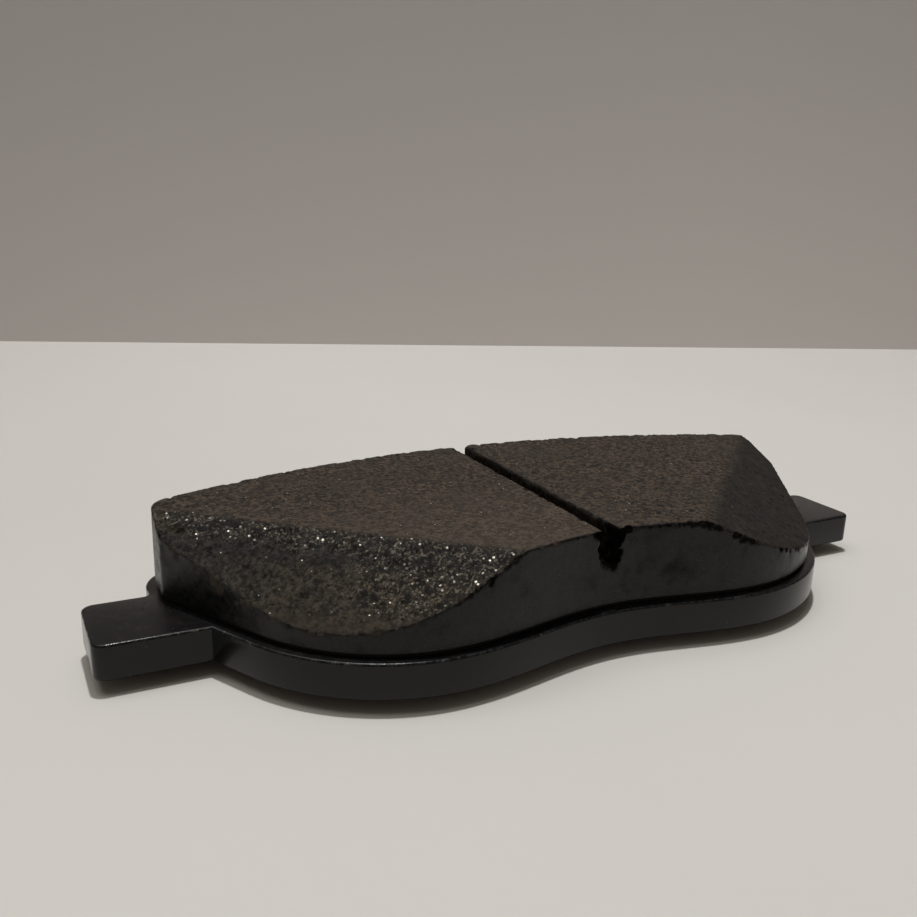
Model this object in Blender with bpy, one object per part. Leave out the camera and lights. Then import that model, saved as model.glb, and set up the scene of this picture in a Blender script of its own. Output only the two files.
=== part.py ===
"""Disc brake pad: a stamped backing plate with two guide tabs, a moulded friction block on a
bonding film and an underlayer, and a riveted anti-noise shim on the back. Metres, +Z up.

The pad lies on its back. X runs along the pad, +Y towards the disc's rim, and Z is the thickness.
Shapes are drawn on a datum with X = 0 midway between the tabs and Y = 0 on the tabs' inner edge,
and the frame object carries them to the centre of the pad's box.
"""

import math

import bmesh
import bpy
from mathutils import Vector

# Backing plate
PAD_LENGTH = 0.1381  # over both tabs
PLATE_THICKNESS = 0.0053
PLATE_RIM = 0.0014  # plate showing all round the friction block
PLATE_EDGE_ROLL = 0.0004
TAB_DEPTH = 0.0139  # inner to outer edge of a tab
TAB_CORNER = 0.0018
TAB_FILLET = 0.0010  # between a tab's outer edge and the plate's end

# Outline of the friction block
BLOCK_LENGTH = 0.1164
CORE_OFFSET = 0.00015  # of the block and the plate under it, from midway between the tabs
BLOCK_CROWN = 0.0321  # Y of the outer arc at its middle
OUTER_RADIUS = 0.146
END_CORNER = 0.0050
SIDE_ANGLE = math.radians(62)  # slope of the sides between the ends and the lobes
LOBE_FROM_END = 0.0326  # middle of a lobe, in from the block's end
LOBE_RADIUS = 0.0265
LOBE_BOTTOM = -0.0200  # Y of the lobes' lowest points
WAIST_RISE = 0.0034  # how far the inner edge rises between the lobes

# Layers above the plate
RUBBING_FACE_HEIGHT = 0.01225  # plate to rubbing face
FILM_THICKNESS = 0.0003
FILM_INSET = 0.0004
UNDERLAYER_THICKNESS = 0.0020
CLEARANCE = 0.0002  # between pieces that touch

# Slot and end chamfers of the friction block
SLOT_WIDTH = 0.0026
SLOT_DEPTH = 0.0064
SLOT_X = -0.00025
CHAMFER_START_Y = -0.0184  # where the chamfers' upper edges leave the inner edge
CHAMFERS = (  # end of the pad, start in X, angle of the upper edge to X, slope of the face
    (-1, 0.01675, math.radians(39.8), math.radians(35.0)),
    (1, 0.01595, math.radians(42.2), math.radians(30.5)),
)

# Keys of the underlayer, moulded into holes of the plate
KEY_RADIUS = 0.0045
INNER_KEY_X = 0.0150
OUTER_KEY_FROM_END = 0.0172
KEY_Y = 0.0060

# Anti-noise shim and its rivets
SHIM_INSET = 0.0030  # back from the block's outline
SHIM_THICKNESS = 0.0006
DAMPING_THICKNESS = 0.0004
RIVET_FROM_END = 0.0292
RIVET_ROWS = (-0.0090, 0.0210)
RIVET_SHANK_RADIUS = 0.0016
RIVET_SHANK_LENGTH = 0.0042
RIVET_HEAD_RADIUS = 0.0029
RIVET_HEAD_THICKNESS = 0.0004

# Levels, from the surface that the pad lies on
SHIM_Z = RIVET_HEAD_THICKNESS + CLEARANCE
DAMPING_Z = SHIM_Z + SHIM_THICKNESS + CLEARANCE
PLATE_Z = DAMPING_Z + DAMPING_THICKNESS + CLEARANCE
PLATE_TOP_Z = PLATE_Z + PLATE_THICKNESS
FILM_Z = PLATE_TOP_Z + CLEARANCE
UNDERLAYER_Z = FILM_Z + FILM_THICKNESS + CLEARANCE
BLOCK_Z = UNDERLAYER_Z + UNDERLAYER_THICKNESS + CLEARANCE
RUBBING_Z = PLATE_TOP_Z + RUBBING_FACE_HEIGHT

CUT_MARGIN = 0.002  # how far a cutter runs past what it cuts
ROUND_SIDES = 32


def arc(centre, radius, start, end, steps):
    """Points on a circle from one angle to another, both ends included."""
    angles = (start + (end - start) * step / steps for step in range(steps + 1))
    return [
        (centre[0] + radius * math.cos(a), centre[1] + radius * math.sin(a)) for a in angles
    ]


def half_outline(rim):
    """The +X half of the block's outline grown by rim, from the waist round to the crown, about
    X = 0. The last value is the index of the point that ends the straight side."""
    half_length = BLOCK_LENGTH / 2 + rim
    lobe = (BLOCK_LENGTH / 2 - LOBE_FROM_END, LOBE_BOTTOM + LOBE_RADIUS)
    radius = LOBE_RADIUS + rim
    waist_steps = 12
    points = []
    for step in range(waist_steps):
        along = step / waist_steps
        drop = WAIST_RISE * (1 - math.cos(math.pi * along)) / 2
        points.append((lobe[0] * along, LOBE_BOTTOM - rim + WAIST_RISE - drop))
    points += arc(lobe, radius, -math.pi / 2, SIDE_ANGLE - math.pi / 2, 10)
    side_end_y = points[-1][1] + (half_length - points[-1][0]) * math.tan(SIDE_ANGLE)
    points.append((half_length, side_end_y))
    side_end = len(points) - 1
    outer = OUTER_RADIUS + rim
    corner = END_CORNER + rim
    outer_centre_y = BLOCK_CROWN - OUTER_RADIUS
    corner_x = half_length - corner
    corner_y = outer_centre_y + math.sqrt((outer - corner) ** 2 - corner_x**2)
    turn = math.atan2(corner_y - outer_centre_y, corner_x)
    points += arc((corner_x, corner_y), corner, 0, turn, 5)
    points += arc((0, outer_centre_y), outer, turn, math.pi / 2, 10)[1:]
    return points, side_end


def whole_outline(right, left):
    """Two halves drawn for +X, joined on the core's middle, with the left one turned over."""
    turned = [(-x, y) for x, y in reversed(left[1:-1])]
    return [(x + CORE_OFFSET, y) for x, y in right + turned]


def block_outline(rim=0.0):
    half = half_outline(rim)[0]
    return whole_outline(half, half)


def half_plate(tip):
    """Half of the block's outline grown by the rim, with a tab out to tip in X where the straight
    side meets the end."""
    half, side_end = half_outline(PLATE_RIM)
    start, end = half[side_end - 1], half[side_end]
    inner_x = start[0] - start[1] / math.tan(SIDE_ANGLE)
    depth = TAB_DEPTH
    tab = [(inner_x, 0)]
    tab += arc((tip - TAB_CORNER, TAB_CORNER), TAB_CORNER, -math.pi / 2, 0, 4)
    tab += arc((tip - TAB_CORNER, depth - TAB_CORNER), TAB_CORNER, 0, math.pi / 2, 4)
    wall = half[side_end + 1][1] - depth
    fillet = min(TAB_FILLET, wall / 2)
    tab += arc((end[0] + fillet, depth + fillet), fillet, -math.pi / 2, -math.pi, 3)
    return half[:side_end] + tab + half[side_end + 1 :]


def plate_outline():
    reach = PAD_LENGTH / 2
    return whole_outline(half_plate(reach - CORE_OFFSET), half_plate(reach + CORE_OFFSET))


def new_object(name, mesh_data, colour, roughness, metallic=0.0):
    """An object on the pad's frame, with its own plain material."""
    mesh = bpy.data.meshes.new(name)
    bmesh.ops.recalc_face_normals(mesh_data, faces=mesh_data.faces)
    mesh_data.to_mesh(mesh)
    mesh_data.free()
    made = bpy.data.objects.new(name, mesh)
    bpy.context.scene.collection.objects.link(made)
    made.parent = pad_frame
    material = bpy.data.materials.new(name)
    material.use_nodes = True
    shader = material.node_tree.nodes["Principled BSDF"]
    shader.inputs["Base Color"].default_value = (*colour, 1)
    shader.inputs["Roughness"].default_value = roughness
    shader.inputs["Metallic"].default_value = metallic
    mesh.materials.append(material)
    return made


def slab(outline, bottom, top):
    """A bmesh of the outline extruded from one level to another."""
    made = bmesh.new()
    face = made.faces.new([made.verts.new((x, y, bottom)) for x, y in outline])
    grown = bmesh.ops.extrude_face_region(made, geom=[face])["geom"]
    raised = [part for part in grown if isinstance(part, bmesh.types.BMVert)]
    bmesh.ops.translate(made, verts=raised, vec=(0, 0, top - bottom))
    return made


def add_cylinders(mesh_data, places, radius, bottom, top):
    """Upright cylinders at the given (x, y) places."""
    for x, y in places:
        made = bmesh.ops.create_cone(
            mesh_data,
            cap_ends=True,
            segments=ROUND_SIDES,
            radius1=radius,
            radius2=radius,
            depth=top - bottom,
        )
        bmesh.ops.translate(mesh_data, verts=made["verts"], vec=(x, y, (top + bottom) / 2))


def cut(target, name, cutter_data):
    """Takes a closed shape away from an object."""
    cutter = new_object(name, cutter_data, (0.8, 0.2, 0.1), 0.5)
    cutter.hide_render = True
    cutter.display_type = "WIRE"
    boolean = target.modifiers.new(name, "BOOLEAN")
    boolean.object = cutter
    boolean.solver = "EXACT"


def cut_holes(target, name, places, radius, bottom, top):
    holes = bmesh.new()
    add_cylinders(holes, places, radius, bottom, top)
    cut(target, name, holes)


def key_places():
    outer_key_x = BLOCK_LENGTH / 2 - OUTER_KEY_FROM_END
    return [(side * x, KEY_Y) for side in (-1, 1) for x in (INNER_KEY_X, outer_key_x)]


def rivet_places():
    rivet_x = BLOCK_LENGTH / 2 - RIVET_FROM_END
    return [(side * rivet_x, y) for y in RIVET_ROWS for side in (-1, 1)]


def make_backing_plate():
    """Steel stamping, with through holes for the keys and blind holes for the rivets."""
    shape = slab(plate_outline(), PLATE_Z, PLATE_TOP_Z)
    rims = [edge for edge in shape.edges if abs(edge.verts[0].co.z - edge.verts[1].co.z) < 1e-6]
    bmesh.ops.bevel(
        shape,
        geom=rims,
        offset=PLATE_EDGE_ROLL,
        offset_type="OFFSET",
        segments=2,
        profile=0.5,
        affect="EDGES",
        material=-1,
    )
    plate = new_object("backing_plate", shape, (0.016, 0.016, 0.016), 0.42)
    radius = KEY_RADIUS + CLEARANCE
    below, above = PLATE_Z - CUT_MARGIN, PLATE_TOP_Z + CUT_MARGIN
    cut_holes(plate, "key_holes", key_places(), radius, below, above)
    shank_room = RIVET_SHANK_RADIUS + CLEARANCE
    shank_top = SHIM_Z + RIVET_SHANK_LENGTH + CLEARANCE
    cut_holes(plate, "rivet_holes", rivet_places(), shank_room, below, shank_top)


def make_bonding_film():
    """Cured adhesive between the plate and the moulding, open where the keys pass through."""
    film = new_object(
        "bonding_film",
        slab(block_outline(-FILM_INSET), FILM_Z, FILM_Z + FILM_THICKNESS),
        (0.02, 0.012, 0.006),
        0.6,
    )
    ends = FILM_Z - CUT_MARGIN, FILM_Z + FILM_THICKNESS + CUT_MARGIN
    cut_holes(film, "film_holes", key_places(), KEY_RADIUS + CLEARANCE, *ends)


def make_underlayer():
    """Heat-insulating layer, with keys that fill the plate's holes down to its back."""
    top = UNDERLAYER_Z + UNDERLAYER_THICKNESS
    layer = new_object(
        "underlayer", slab(block_outline(), UNDERLAYER_Z, top), (0.02, 0.02, 0.02), 0.8
    )
    keys = bmesh.new()
    inside = UNDERLAYER_Z + UNDERLAYER_THICKNESS / 2
    add_cylinders(keys, key_places(), KEY_RADIUS, PLATE_Z, inside)
    joined = new_object("underlayer_keys", keys, (0.02, 0.02, 0.02), 0.8)
    joined.hide_render = True
    joined.display_type = "WIRE"
    boolean = layer.modifiers.new("underlayer_keys", "BOOLEAN")
    boolean.operation = "UNION"
    boolean.object = joined
    boolean.solver = "EXACT"


def make_friction_block():
    """Friction compound with a slanting chamfer at each end and a slot across its middle."""
    shape = slab(block_outline(), BLOCK_Z, RUBBING_Z)
    for side, start_x, ridge_angle, slope in CHAMFERS:
        outward = Vector((side * math.sin(ridge_angle), -math.cos(ridge_angle), 0))
        normal = outward * math.sin(slope) + Vector((0, 0, math.cos(slope)))
        sliced = bmesh.ops.bisect_plane(
            shape,
            geom=shape.verts[:] + shape.edges[:] + shape.faces[:],
            dist=1e-7,
            plane_co=(side * start_x, CHAMFER_START_Y, RUBBING_Z),
            plane_no=normal,
            clear_outer=True,
        )
        open_edges = [e for e in sliced["geom_cut"] if isinstance(e, bmesh.types.BMEdge)]
        bmesh.ops.contextual_create(shape, geom=open_edges)
    block = new_object("friction_block", shape, (0.05, 0.043, 0.036), 0.85)
    low, high = block_span_y()
    slot = bmesh.new()
    made = bmesh.ops.create_cube(slot, size=1)
    depth = SLOT_DEPTH + CUT_MARGIN
    bmesh.ops.scale(slot, verts=made["verts"], vec=(SLOT_WIDTH, high - low, depth))
    middle = (SLOT_X, (low + high) / 2, RUBBING_Z - SLOT_DEPTH + depth / 2)
    bmesh.ops.translate(slot, verts=made["verts"], vec=middle)
    cut(block, "slot", slot)


def block_span_y():
    ys = [y for _, y in block_outline()]
    return min(ys) - CUT_MARGIN, max(ys) + CUT_MARGIN


def make_shim():
    """Steel shim on a damping layer, both pierced for the rivets."""
    outline = block_outline(-SHIM_INSET)
    layers = (
        ("shim_steel", SHIM_Z, SHIM_THICKNESS, (0.12, 0.12, 0.12), 0.4, 0.9),
        ("shim_damping_layer", DAMPING_Z, DAMPING_THICKNESS, (0.02, 0.02, 0.02), 0.7, 0.0),
    )
    for name, bottom, thickness, colour, roughness, metallic in layers:
        top = bottom + thickness
        layer = new_object(name, slab(outline, bottom, top), colour, roughness, metallic)
        cut_holes(
            layer,
            name + "_holes",
            rivet_places(),
            RIVET_SHANK_RADIUS + CLEARANCE,
            bottom - CUT_MARGIN,
            top + CUT_MARGIN,
        )


def make_rivets():
    """Flat-headed rivets that hold the shim to the plate's back. The pad lies on their heads."""
    profile = (
        (RIVET_HEAD_RADIUS, 0),
        (RIVET_HEAD_RADIUS, RIVET_HEAD_THICKNESS),
        (RIVET_SHANK_RADIUS, RIVET_HEAD_THICKNESS),
        (RIVET_SHANK_RADIUS, SHIM_Z + RIVET_SHANK_LENGTH),
    )
    for number, (x, y) in enumerate(rivet_places(), 1):
        shape = bmesh.new()
        path = [shape.verts.new((radius, 0, z)) for radius, z in profile]
        path = [shape.verts.new((0, 0, 0)), *path, shape.verts.new((0, 0, profile[-1][1]))]
        edges = [shape.edges.new(pair) for pair in zip(path, path[1:])]
        bmesh.ops.spin(
            shape,
            geom=path + edges,
            cent=(0, 0, 0),
            axis=(0, 0, 1),
            angle=2 * math.pi,
            steps=ROUND_SIDES,
            use_merge=True,
        )
        bmesh.ops.remove_doubles(shape, verts=shape.verts, dist=1e-7)
        rivet = new_object(f"shim_rivet_{number}", shape, (0.35, 0.34, 0.33), 0.4, 1.0)
        rivet.location = (x, y, 0)
        rivet.data.shade_smooth()
        rivet.data.set_sharp_from_angle(angle=math.radians(30))


for old in list(bpy.data.objects):
    bpy.data.objects.remove(old)

pad_frame = bpy.data.objects.new("pad_frame", None)
bpy.context.scene.collection.objects.link(pad_frame)
plate_ys = [y for _, y in plate_outline()]
pad_frame.location.y = -(min(plate_ys) + max(plate_ys)) / 2

make_backing_plate()
make_bonding_film()
make_underlayer()
make_friction_block()
make_shim()
make_rivets()
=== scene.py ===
"""A used disc brake pad lying on its back on pale paper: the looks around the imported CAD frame.

Metres, +Z up. Outlines are drawn on the tabs' datum, X = 0 midway between the tabs and Y = 0 on
their inner edge, and set_down() carries each finished shape to the pad's frame.
"""

import math

import bmesh
import bpy
import numpy as np
from mathutils import Matrix, Vector, kdtree, noise


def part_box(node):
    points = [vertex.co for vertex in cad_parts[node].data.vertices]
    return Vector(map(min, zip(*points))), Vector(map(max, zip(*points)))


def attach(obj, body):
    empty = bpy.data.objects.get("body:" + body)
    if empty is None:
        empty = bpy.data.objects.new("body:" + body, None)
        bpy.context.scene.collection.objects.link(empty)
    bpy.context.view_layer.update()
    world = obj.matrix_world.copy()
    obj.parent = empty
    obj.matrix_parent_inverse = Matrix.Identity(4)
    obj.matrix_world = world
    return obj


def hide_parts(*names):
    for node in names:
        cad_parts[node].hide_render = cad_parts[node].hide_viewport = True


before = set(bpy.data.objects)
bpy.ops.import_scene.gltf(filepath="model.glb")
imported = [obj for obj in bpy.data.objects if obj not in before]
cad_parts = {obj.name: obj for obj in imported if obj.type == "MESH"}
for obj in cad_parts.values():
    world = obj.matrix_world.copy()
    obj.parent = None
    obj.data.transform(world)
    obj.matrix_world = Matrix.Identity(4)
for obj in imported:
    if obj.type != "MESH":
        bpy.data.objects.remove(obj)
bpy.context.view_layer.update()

MM = 0.001

# Backing plate
PAD_LENGTH = 0.1381
PLATE_RIM = 0.0014
PLATE_EDGE_ROLL = 0.00042
TAB_DEPTH = 0.0139
TAB_CORNER = 0.0018
TAB_FILLET = 0.0010

# Outline of the friction block
BLOCK_LENGTH = 0.1164
CORE_OFFSET = 0.00015
BLOCK_CROWN = 0.0321
OUTER_RADIUS = 0.146
END_CORNER = 0.0050
SIDE_ANGLE = math.radians(62)
LOBE_FROM_END = 0.0326
LOBE_RADIUS = 0.0265
LOBE_BOTTOM = -0.0200
WAIST_RISE = 0.0034
FRONT_TO_Y = 0.0005  # the front wall's outline lies below this
REAR_FROM_Y = 0.0205  # and the rear wall's above this
HEART_Y = 0.0040  # broken edges fall away from here

# Slot and end chamfers
SLOT_WIDTH = 0.0026
SLOT_DEPTH = 0.0064
SLOT_X = -0.00025
CHAMFER_START_Y = -0.0184
CHAMFERS = {  # end of the pad, start in X, angle of the upper edge to X, slope of the face
    "left": (-1, 0.01675, math.radians(39.8), math.radians(35.0)),
    "right": (1, 0.01595, math.radians(42.2), math.radians(30.5)),
}

# Keys, shim and rivets
KEY_RADIUS = 0.0045
INNER_KEY_X = 0.0150
OUTER_KEY_FROM_END = 0.0172
KEY_Y = 0.0060
SHIM_INSET = 0.0030
RIVET_FROM_END = 0.0292
RIVET_ROWS = (-0.0090, 0.0210)
RIVET_SHANK_RADIUS = 0.0016
RIVET_HEAD_RADIUS = 0.0029
FILM_INSET = 0.0004

# Levels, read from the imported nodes
PLATE_Z, PLATE_TOP_Z = (corner.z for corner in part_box("backing_plate"))
UNDERLAYER_Z = 0.0080
BLOCK_Z, RUBBING_Z = (corner.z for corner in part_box("friction_block"))
SHIM_Z, SHIM_TOP_Z = (corner.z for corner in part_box("shim_steel"))
RIVET_Z, RIVET_TOP_Z = (corner.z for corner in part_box("shim_rivet_1"))

GRAIN = 0.34 * MM  # edge of a facet on the moulding
FOOT_SPARE = 1.5 * MM  # how far the moulding runs on below its foot before it is cut
FIRST_SEED = 41
CRISP_ANGLE = 35  # edges that turn by more degrees than this stay crisp
CUT_ANGLE = 70  # the same for the moulding, so that its rough faces shade smoothly


# Outlines


def arc(centre, radius, start, end, steps):
    """Points on a circle from one angle to another, both ends included."""
    angles = (start + (end - start) * step / steps for step in range(steps + 1))
    return [(centre[0] + radius * math.cos(a), centre[1] + radius * math.sin(a)) for a in angles]


def half_outline(rim):
    """The +X half of the block's outline grown by rim, from the waist round to the crown, about
    X = 0. The last value is the index of the point that ends the straight side."""
    half_length = BLOCK_LENGTH / 2 + rim
    lobe = (BLOCK_LENGTH / 2 - LOBE_FROM_END, LOBE_BOTTOM + LOBE_RADIUS)
    radius = LOBE_RADIUS + rim
    waist_steps = 30
    points = []
    for step in range(waist_steps):
        along = step / waist_steps
        drop = WAIST_RISE * (1 - math.cos(math.pi * along)) / 2
        points.append((lobe[0] * along, LOBE_BOTTOM - rim + WAIST_RISE - drop))
    points += arc(lobe, radius, -math.pi / 2, SIDE_ANGLE - math.pi / 2, 30)
    side_end_y = points[-1][1] + (half_length - points[-1][0]) * math.tan(SIDE_ANGLE)
    points.append((half_length, side_end_y))
    side_end = len(points) - 1
    outer = OUTER_RADIUS + rim
    corner = END_CORNER + rim
    outer_centre_y = BLOCK_CROWN - OUTER_RADIUS
    corner_x = half_length - corner
    corner_y = outer_centre_y + math.sqrt((outer - corner) ** 2 - corner_x**2)
    turn = math.atan2(corner_y - outer_centre_y, corner_x)
    points += arc((corner_x, corner_y), corner, 0, turn, 12)
    points += arc((0, outer_centre_y), outer, turn, math.pi / 2, 32)[1:]
    return points, side_end


def whole_outline(right, left):
    """Two halves drawn for +X, joined on the core's middle, with the left one turned over."""
    turned = [(-x, y) for x, y in reversed(left[1:-1])]
    return [(x + CORE_OFFSET, y) for x, y in right + turned]


def block_outline(rim=0.0):
    half = half_outline(rim)[0]
    return whole_outline(half, half)


def half_plate(tip):
    """Half of the block's outline grown by the rim, with a tab out to tip in X."""
    half, side_end = half_outline(PLATE_RIM)
    start, end = half[side_end - 1], half[side_end]
    inner_x = start[0] - start[1] / math.tan(SIDE_ANGLE)
    tab = [(inner_x, 0)]
    tab += arc((tip - TAB_CORNER, TAB_CORNER), TAB_CORNER, -math.pi / 2, 0, 8)
    tab += arc((tip - TAB_CORNER, TAB_DEPTH - TAB_CORNER), TAB_CORNER, 0, math.pi / 2, 8)
    fillet = min(TAB_FILLET, (half[side_end + 1][1] - TAB_DEPTH) / 2)
    tab += arc((end[0] + fillet, TAB_DEPTH + fillet), fillet, -math.pi / 2, -math.pi, 6)
    return half[:side_end] + tab + half[side_end + 1 :]


def plate_outline():
    reach = PAD_LENGTH / 2
    return whole_outline(half_plate(reach - CORE_OFFSET), half_plate(reach + CORE_OFFSET))


def key_places():
    outer_key_x = BLOCK_LENGTH / 2 - OUTER_KEY_FROM_END
    return [(side * x, KEY_Y) for side in (-1, 1) for x in (INNER_KEY_X, outer_key_x)]


def rivet_places():
    rivet_x = BLOCK_LENGTH / 2 - RIVET_FROM_END
    return [(side * rivet_x, y) for y in RIVET_ROWS for side in (-1, 1)]


PLATE_YS = [y for _, y in plate_outline()]
DATUM_Y = -(min(PLATE_YS) + max(PLATE_YS)) / 2


# Meshes


def set_down(shape):
    """Carries a shape from the tabs' datum to the pad's frame."""
    bmesh.ops.translate(shape, verts=shape.verts, vec=(0, DATUM_Y, 0))


def object_from(name, shape):
    """An object at the origin made from a bmesh, which is used up."""
    mesh = bpy.data.meshes.new(name)
    shape.to_mesh(mesh)
    shape.free()
    made = bpy.data.objects.new(name, mesh)
    bpy.context.scene.collection.objects.link(made)
    return made


def new_piece(name, shape, finish, crisp_angle=CRISP_ANGLE):
    """A finished object, with its faces outwards."""
    bmesh.ops.recalc_face_normals(shape, faces=shape.faces)
    piece = object_from(name, shape)
    piece.data.shade_smooth()
    piece.data.set_sharp_from_angle(angle=math.radians(crisp_angle))
    piece.data.materials.append(finish)
    return piece


def add_to_pad(piece, node):
    """Makes a piece stand for a CAD node."""
    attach(piece, "root")
    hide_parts(node)


def slab(outline, bottom, top):
    """A bmesh of the outline extruded from one level to another."""
    made = bmesh.new()
    face = made.faces.new([made.verts.new((x, y, bottom)) for x, y in outline])
    grown = bmesh.ops.extrude_face_region(made, geom=[face])["geom"]
    raised = [part for part in grown if isinstance(part, bmesh.types.BMVert)]
    bmesh.ops.translate(made, verts=raised, vec=(0, 0, top - bottom))
    bmesh.ops.recalc_face_normals(made, faces=made.faces)
    return made


def roll_rims(shape, amount, segments, levels):
    """Rounds the level edges of a slab that lie at the given levels."""
    rims = [
        edge
        for edge in shape.edges
        if abs(edge.verts[0].co.z - edge.verts[1].co.z) < 1e-7
        and any(abs(edge.verts[0].co.z - level) < 1e-6 for level in levels)
    ]
    bmesh.ops.bevel(
        shape,
        geom=rims,
        offset=amount,
        offset_type="OFFSET",
        segments=segments,
        profile=0.5,
        affect="EDGES",
        material=-1,
    )


def add_keys(shape):
    """Keys that fill the plate's holes and run on a little way into the layer above."""
    top = UNDERLAYER_Z + 1 * MM
    radii = {"radius1": KEY_RADIUS, "radius2": KEY_RADIUS}
    for x, y in key_places():
        key = bmesh.ops.create_cone(shape, cap_ends=True, segments=48, depth=top - PLATE_Z, **radii)
        bmesh.ops.translate(shape, verts=key["verts"], vec=(x, y + DATUM_Y, (top + PLATE_Z) / 2))


def cut_away(shape, place, normal, merge):
    """Cuts off what lies outwards of a plane, and returns the edges of the opening."""
    cut = bmesh.ops.bisect_plane(
        shape,
        geom=shape.verts[:] + shape.edges[:] + shape.faces[:],
        dist=merge,
        plane_co=place,
        plane_no=normal,
        clear_outer=True,
    )
    return [edge for edge in cut["geom_cut"] if isinstance(edge, bmesh.types.BMEdge)]


def cut_and_grained(shape, cutter):
    """The shape less a cutter, as an even mesh of small faces. Both are used up."""
    working, tool = object_from("moulding", shape), object_from("slot", cutter)
    cut = working.modifiers.new("slot", "BOOLEAN")
    cut.operation, cut.solver, cut.object = "DIFFERENCE", "EXACT", tool
    grain = working.modifiers.new("grain", "REMESH")
    grain.mode, grain.voxel_size = "VOXEL", GRAIN
    graph = bpy.context.evaluated_depsgraph_get()
    mesh = bpy.data.meshes.new_from_object(working.evaluated_get(graph))
    for helper in (working, tool):
        bpy.data.objects.remove(helper)
    made = bmesh.new()
    made.from_mesh(mesh)
    bpy.data.meshes.remove(mesh)
    return made


# Finishes

PAINT_DARK = (0.0034, 0.0037, 0.0045)
PAINT_LIGHT = (0.0055, 0.0057, 0.0064)


class Wire:
    """An output of a material's node. Arithmetic on wires that carry numbers adds Math nodes."""

    def __init__(self, finish, socket):
        self.finish = finish
        self.socket = socket

    def maths(self, operation, first, second):
        values = {"Value": first, "Value_001": second}
        return self.finish.add("ShaderNodeMath", {"operation": operation}, values)

    def __add__(self, other):
        return self.maths("ADD", self, other)

    def __radd__(self, other):
        return self.maths("ADD", other, self)

    def __sub__(self, other):
        return self.maths("SUBTRACT", self, other)

    def __rsub__(self, other):
        return self.maths("SUBTRACT", other, self)

    def __mul__(self, other):
        return self.maths("MULTIPLY", self, other)

    def __rmul__(self, other):
        return self.maths("MULTIPLY", other, self)

    def __gt__(self, other):
        return self.maths("GREATER_THAN", self, other)

    def clamped(self):
        return self.finish.between(self, 0.0, 1.0, smooth=False)


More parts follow.
